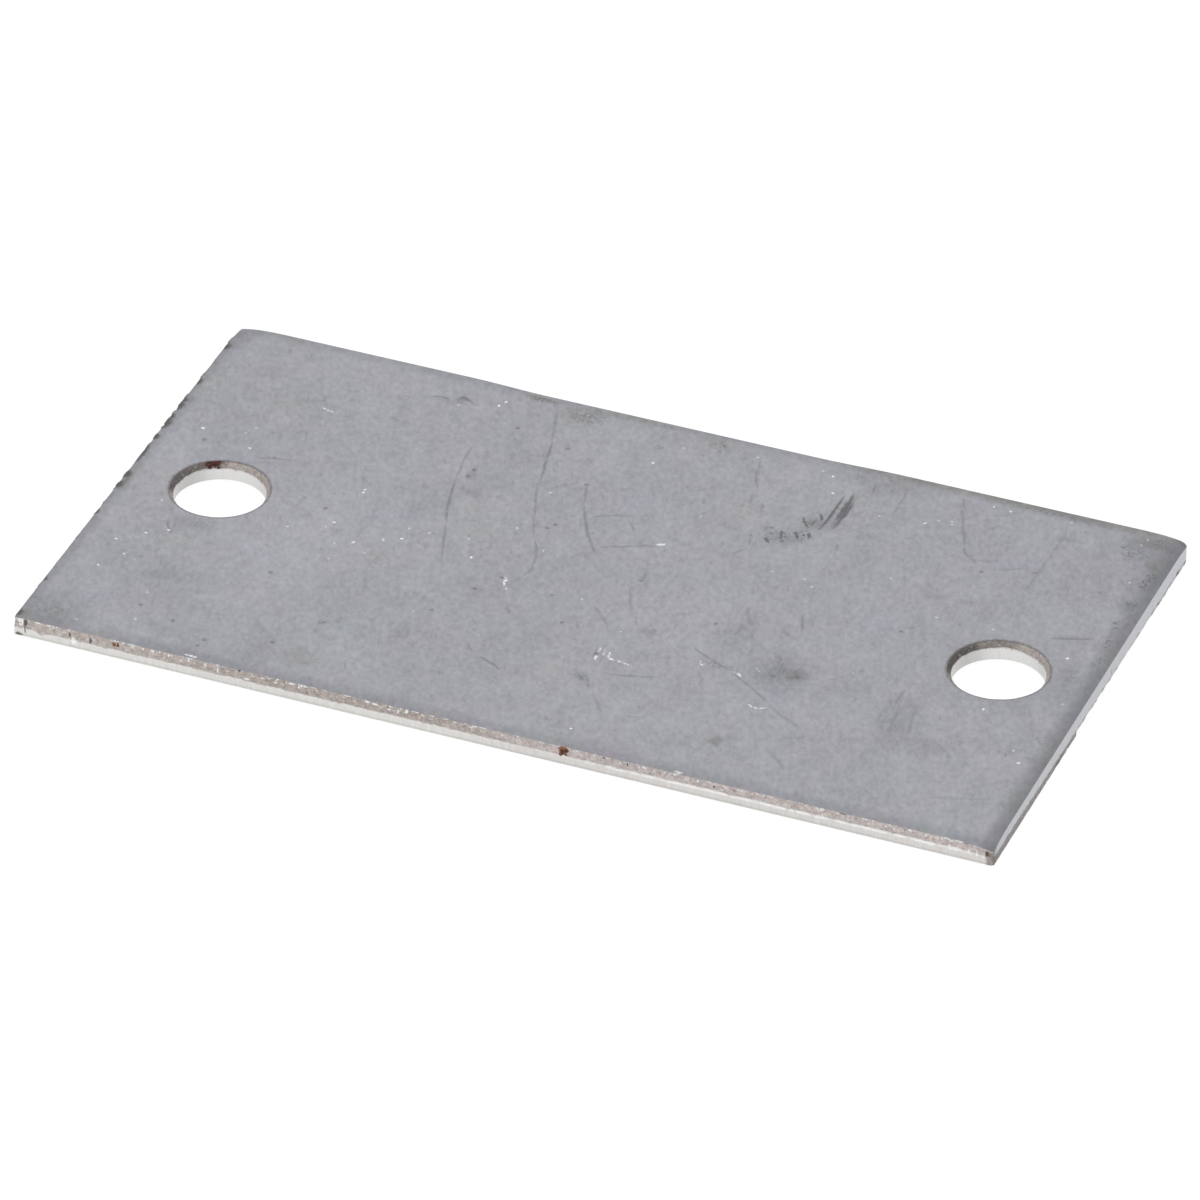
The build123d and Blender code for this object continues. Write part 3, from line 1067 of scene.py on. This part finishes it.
def makeUnderside():
    sheet = newSheet("undersideSkin")
    place = measured(sheet)
    tone = mottling(sheet, place)
    stirred = shifted(sheet, place, 0.25, 6.0)
    lines = sheet.grain(sheet.vector("MULTIPLY", stirred, (0.9, 0.08, 1)), 3.0, detail=1.0)
    scratched = sheet.fade(lines, 0.70, 0.74)
    worn = sheet.fade(sheet.grain(place, 0.14, detail=3.0), 0.45, 0.7)
    colour = greySteel(sheet, place, tone - worn * 0.10)
    colour = sheet.blend(scratched * 0.4, colour, tint(skin["stainDark"]))
    rough = sheet.fade(tone, 0.8, 1.2, 0.55, 0.40)
    return finished(sheet, colour, rough, tone - scratched * 0.5, skin["bumpReach"])


sheared = {
    "bumpReach": 0.05,
    "tornLeft": (0.52, 0.465, 0.44),
    "tornMiddle": (0.455, 0.40, 0.38),
    "tornRight": (0.545, 0.49, 0.475),
    "landLeft": (0.70, 0.69, 0.665),
    "landRight": (0.655, 0.635, 0.615),
    "tornFront": (0.285, 0.27, 0.265),
    "tornBack": (0.435, 0.437, 0.447),
    "landAside": (0.43, 0.443, 0.466),
    "darkBrown": (0.20, 0.165, 0.15),
    "rust": (0.095, 0.032, 0.02),
    "rustBright": (0.33, 0.13, 0.06),
    "pit": (0.06, 0.045, 0.04),
    # White of the painted glints and sparkle on the sheared and punched walls
    "white": (0.88, 0.88, 0.87),
}

# Painted highlights on the front edge, glints painted white, as place along it, height, half length, half
# height
frontGlintBits = (
    (-49.1, 1.7, 0.3, 0.35), (-48.85, 1.5, 0.12, 0.5), (-47.2, 1.85, 0.4, 0.10), (-46.1, 1.85, 0.4, 0.12),
    (-45.3, 1.85, 0.15, 0.1), (-43.5, 0.8, 0.4, 0.5), (-37.5, 1.92, 0.6, 0.10), (-36.3, 1.75, 0.15, 0.2),
    (-35.3, 1.8, 0.25, 0.22), (-34.6, 1.85, 0.12, 0.15), (-31.5, 1.95, 0.5, 0.1), (-22.6, 1.5, 0.3, 0.12),
    (-21.0, 1.85, 0.25, 0.12), (-17.6, 1.95, 0.3, 0.12), (-15.3, 1.9, 0.5, 0.10), (-13.2, 1.85, 0.35, 0.2),
    (-12.4, 1.7, 0.5, 0.16), (-11.0, 1.55, 0.25, 0.12), (-9.2, 1.75, 0.2, 0.4), (-8.3, 1.98, 0.5, 0.12),
    (-6.6, 1.95, 0.35, 0.12), (-5.2, 1.95, 0.4, 0.12), (-4.3, 1.8, 0.2, 0.1), (-1.5, 1.9, 0.6, 0.08),
    (18.1, 1.98, 0.4, 0.12), (45.4, 1.0, 0.25, 0.4), (46.0, 0.95, 0.15, 0.3), (47.3, 1.0, 0.2, 0.3),
    (48.1, 0.95, 0.2, 0.3), (43.6, 0.95, 0.3, 0.3), (28.8, 0.95, 0.4, 0.25), (37.0, 1.85, 0.3, 0.1),
    (-33.6, 1.7, 0.12, 0.3), (-32.4, 1.4, 0.1, 0.25), (-29.9, 1.55, 0.1, 0.3), (-28.6, 1.3, 0.12, 0.3),
    (-20.2, 1.6, 0.1, 0.25), (-10.1, 1.5, 0.1, 0.3), (-3.2, 1.9, 0.2, 0.12), (-31.6, 1.7, 0.1, 0.25),
    (-49.1, 1.25, 0.22, 0.16), (-25.6, 1.1, 0.4, 0.14), (20.3, 1.7, 0.12, 0.2), (41.4, 1.75, 0.2, 0.14),
)
frontPits = (
    (-48.5, 1.55, 0.3, 0.55), (-43.9, 1.4, 0.14, 0.34), (-41.8, 1.2, 0.18, 0.42), (-26.4, 1.95, 0.22, 0.24),
    (-49.2, 0.15, 0.5, 0.25), (-48.6, 0.75, 0.1, 0.5), (10.8, 1.75, 0.12, 0.14), (21.9, 1.5, 0.14, 0.14),
    (49.1, 1.2, 0.2, 0.45), (34.8, 1.9, 0.4, 0.1), (13.2, 1.6, 0.1, 0.25), (47.0, 1.85, 0.3, 0.1),
)
frontRust = (
    (-39.35, 1.42, 0.32, 0.27), (-38.9, 1.5, 0.14, 0.3), (6.75, 1.52, 0.58, 0.62), (6.5, 1.05, 0.22, 0.3),
)

# Dark bits along the foot of the right wall, and darker round its front corner
rightPits = (
    (2.8, 0.35, 0.7, 0.34), (5.2, 0.85, 0.18, 0.6), (6.5, 0.25, 0.6, 0.36), (8.9, 0.3, 0.5, 0.3),
    (12.7, 0.28, 0.5, 0.38), (14.8, 0.15, 0.4, 0.2), (17.0, 0.25, 0.5, 0.34), (18.5, 0.2, 0.6, 0.36),
    (21.4, 0.22, 0.4, 0.34), (24.2, 0.28, 0.6, 0.42), (-4.7, 0.25, 0.7, 0.26), (-9.5, 0.22, 1.4, 0.22),
    (-1.6, 0.25, 0.4, 0.2), (0.4, 0.25, 0.4, 0.2), (26.4, 0.15, 0.6, 0.3), (10.6, 0.2, 0.3, 0.24),
)


def edgePatch(sheet, place, axis, along, height, reach, reachUp):
    alongX = 1 if axis == "x" else 0
    alongY = 1 - alongX
    factors = (alongX / reach, alongY / reach, 1 / reachUp)
    offsets = (-along * factors[0], -along * factors[1], -height / reachUp)
    scaled = sheet.vector("MULTIPLY_ADD", place, factors, offsets)
    return sheet.fade(sheet.length(scaled), 1.0, 0.45)


def patches(sheet, place, axis, bits):
    found = None
    for along, height, reach, reachUp in bits:
        here = edgePatch(sheet, place, axis, along, height, reach, reachUp)
        found = here if found is None else found.most(here)
    return found


# How torn a wall is, from the mesh, with a ragged line between land and tear
def tornShare(sheet, place):
    torn = sheet.wire("ShaderNodeAttribute", "Fac", {"attribute_name": "torn"}, {})
    uneven = (sheet.grain(place, 1.6, detail=3.0, roughness=0.65) - 0.5) * 1.1
    return torn, sheet.fade(torn + uneven, 0.34, 0.66)


def drawnLand(sheet, place, contrast=0.3):
    streaks = sheet.grain(sheet.vector("MULTIPLY", place, (1, 1, 0.12)), 4.5, detail=2.0) - 0.5
    return streaks * contrast + 1


def crumbs(sheet, place):
    coarse = sheet.grain(place, 2.6, detail=3.0, roughness=0.7) - 0.5
    return coarse * 1.3 + 1


# Torn metal: its colour broken by bright grains, whose white is painted sparkle, and by grime in the hollows
def tornMetal(sheet, place, colour, grit, bright, grimy):
    colour = sheet.scaled(colour, grit)
    glintGrains = sheet.fade(sheet.grain(place, 3.4, detail=2.0, roughness=0.6), 0.58, 0.68) * bright
    hollows = sheet.fade(sheet.grain(place, 2.3, detail=3.0, roughness=0.65), 0.45, 0.33) * grimy
    colour = sheet.blend(hollows, colour, tint(sheared["darkBrown"]))
    return sheet.blend(glintGrains, colour, tint(sheared["white"]))


def makeFrontEdge():
    sheet = newSheet("frontShear")
    place = shifted(sheet, measured(sheet), 2.0, 0.3)
    laid = sheet.vector("MULTIPLY", place, (skin["markSpread"], 1, 1))
    x, z = sheet.axis(place, 0), sheet.axis(place, 2)
    torn, isTorn = tornShare(sheet, place)
    toMiddle = sheet.fade(x, -30.0, -21.0)
    toRight = sheet.fade(x, -6.0, 6.0)
    tornColour = sheet.blend(toMiddle, tint(sheared["tornLeft"]), tint(sheared["tornMiddle"]))
    tornColour = sheet.blend(toRight, tornColour, tint(sheared["tornRight"]))
    grit = crumbs(sheet, place)
    # Painted sparkle: the white grains of the torn band brighter towards the rim
    nearRim = sheet.fade(z, 1.3, 1.9, 0.3, 0.95)
    tornColour = tornMetal(sheet, place, tornColour, grit, nearRim, 0.45)
    landColour = sheet.blend(toRight, tint(sheared["landLeft"]), tint(sheared["landRight"]))
    landColour = sheet.scaled(landColour, drawnLand(sheet, place))
    # Painted shade: the land darker just above its foot, where the wall starts to curve under
    foot = sheet.fade(z, 0.36, 0.16) * sheet.fade(z, 0.02, 0.12, 0.3, 1.0)
    landColour = sheet.scaled(landColour, 1 - foot * 0.15)
    colour = sheet.blend(isTorn, landColour, tornColour)
    # Painted highlight: a white line along the break between land and tear, strongest towards the right,
    # together with the glints listed for the front edge, all painted in white
    breakLine = sheet.fade((torn - 0.36).size(), 0.42, 0.1) * sheet.fade(x, 4.0, 15.0, 0.15, 0.9)
    patchy = sheet.fade(sheet.grain(place, 0.8, detail=3.0), 0.34, 0.56)
    white = (breakLine * patchy).most(patches(sheet, laid, "x", frontGlintBits) * 0.9)
    colour = sheet.blend(white, colour, tint(sheared["white"]))
    # Darker at the right end of the front wall, below the rim, round the front right corner
    corner = sheet.fade(x, halfLength - 0.95, halfLength - 0.45) * sheet.fade(z, 1.75, 1.2)
    colour = sheet.blend(corner * 0.75, colour, tint(sheared["darkBrown"]))
    stirred = shifted(sheet, laid, 3.0, 0.4)
    rust = patches(sheet, stirred, "x", frontRust)
    blotchy = sheet.fade(sheet.grain(place, 2.6, detail=2.0), 0.42, 0.6)
    rustColour = sheet.blend(blotchy, tint(sheared["rust"]), tint(sheared["rustBright"]))
    colour = sheet.blend(sheet.fade(rust, 0.0, 0.6) * 0.9, colour, rustColour)
    colour = sheet.blend(patches(sheet, laid, "x", frontPits) * 0.8, colour, tint(sheared["pit"]))
    rough = isTorn * 0.28 + rust * 0.2 + 0.28
    return finished(sheet, colour, rough, grit * isTorn, sheared["bumpReach"])


def makeRightEdge():
    sheet = newSheet("rightShear")
    place = shifted(sheet, measured(sheet), 2.0, 0.25)
    y = sheet.axis(place, 1)
    isTorn = tornShare(sheet, place)[1]
    grit = crumbs(sheet, place)
    toBack = sheet.fade(y, -9.0, 3.0)
    tornColour = sheet.blend(toBack, tint(sheared["tornFront"]), tint(sheared["tornBack"]))
    tornColour = tornMetal(sheet, place, tornColour, grit, 0.12, 0.3)
    landColour = sheet.scaled(sheared["landAside"], drawnLand(sheet, place))
    colour = sheet.blend(isTorn, landColour, tornColour)
    footBits = patches(sheet, place, "y", rightPits) * 0.85
    # Darker round the front corner of the right wall
    corner = sheet.fade(y, 1.4 - halfWidth, 0.4 - halfWidth) * 0.6
    colour = sheet.blend(footBits.most(corner), colour, tint(sheared["darkBrown"]))
    return finished(sheet, colour, isTorn * 0.28 + 0.28, grit * isTorn, sheared["bumpReach"])


# The edges turned away from the front
plainEdges = {
    "back": {"land": (0.60, 0.61, 0.62), "torn": (0.40, 0.37, 0.35), "stained": (0.28, 0.25, 0.23)},
    "left": {"land": (0.62, 0.63, 0.63), "torn": (0.33, 0.30, 0.28), "stained": (0.18, 0.16, 0.14)},
}


def makePlainEdge(side):
    tints = plainEdges[side]
    sheet = newSheet(side + "Shear")
    place = shifted(sheet, measured(sheet), 2.0, 0.25)
    isTorn = tornShare(sheet, place)[1]
    grit = crumbs(sheet, place)
    stains = sheet.fade(sheet.grain(place, 0.5, detail=3.0), 0.42, 0.62)
    tornColour = sheet.blend(stains, tint(tints["torn"]), tint(tints["stained"]))
    tornColour = tornMetal(sheet, place, tornColour, grit, 0.25, 0.4)
    landColour = sheet.scaled(tints["land"], drawnLand(sheet, place))
    colour = sheet.blend(isTorn, landColour, tornColour)
    return finished(sheet, colour, isTorn * 0.28 + 0.28, grit * isTorn, sheared["bumpReach"])


punched = {
    "land": (0.655, 0.65, 0.64),
    "torn": (0.50, 0.447, 0.42),
    # Dark of the painted shade on the torn rim
    "stained": (0.115, 0.108, 0.102),
    "rust": (0.06, 0.024, 0.02),
    "rustBright": (0.13, 0.045, 0.032),
}

# Painted shade on a hole's torn rim, where its wall faces away from the light: middle and half angle in
# degrees, how dark
holeShadeStretches = {
    "left": ((156, 50, 0.78),),
    "right": ((170, 40, 0.9), (118, 30, 0.55)),
}


def makePunchedWall(side):
    middle = holeMiddles[0] if side == "left" else holeMiddles[1]
    sheet = newSheet(side + "PunchedWall")
    place = shifted(sheet, sheet.vector("SUBTRACT", measured(sheet), (middle, 0, 0)), 2.0, 0.25)
    isTorn = tornShare(sheet, place)[1]
    grit = crumbs(sheet, place)
    facing = sheet.vector("NORMALIZE", sheet.vector("MULTIPLY", place, (1, 1, 0)))
    # Painted shade: the torn rim darker on the stretches that face away from the light
    stained = None
    for turn, half, depth in holeShadeStretches[side]:
        toward = (cos(radians(turn)), sin(radians(turn)), 0)
        here = sheet.fade(sheet.dot(facing, toward), cos(radians(half + 8)), cos(radians(half - 12))) * depth
        stained = here if stained is None else stained.most(here)
    tornColour = sheet.blend(stained, tint(punched["torn"]), tint(punched["stained"]))
    tornColour = tornMetal(sheet, place, tornColour, grit, 0.25, 0.35)
    # Painted light: the land brighter on the hole's back stretch, whose wall faces the front, and darker
    # where it faces sideways
    toBack = sheet.fade(sheet.axis(facing, 1), 0.5, 1.05, 0.8, 1.09)
    landColour = sheet.scaled(punched["land"], drawnLand(sheet, place, 0.13) * toBack)
    colour = sheet.blend(isTorn, landColour, tornColour)
    line = sheet.fade(sheet.axis(place, 2), topFace - 0.16, topFace - 0.03) * 0.6
    colour = sheet.blend(line, colour, tint(skin["rim"]))
    if side == "left":
        blot = shifted(sheet, place, 2.4, 1.3)
        up = sheet.axis(blot, 2)
        blob = patch(sheet, blot, -2.4, 4.2, 1.15, 1.2)
        blob = blob * sheet.fade(up, topFace - 0.75, topFace - 0.45)
        trail = patch(sheet, blot, -2.2, 4.2, 2.9, 1.6)
        trail = trail * sheet.fade(up, topFace - 0.35, topFace - 0.1) * 0.5
        rusted = sheet.fade(blob, 0.08, 0.4).most(trail)
        spotted = sheet.fade(grit, 0.85, 1.2)
        rustTint = sheet.blend(spotted, tint(punched["rust"]), tint(punched["rustBright"]))
        colour = sheet.blend(rusted * 0.92, colour, rustTint)
    return finished(sheet, colour, isTorn * 0.3 + 0.25, grit * isTorn, sheared["bumpReach"])


coverPlate = makePlate()
for look in (
    makeTopSkin(),
    makeUnderside(),
    makeFrontEdge(),
    makeRightEdge(),
    makePlainEdge("back"),
    makePlainEdge("left"),
    makePunchedWall("left"),
    makePunchedWall("right"),
):
    coverPlate.data.materials.append(look)
print("materials on")

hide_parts("cover_plate")
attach(coverPlate, "root")
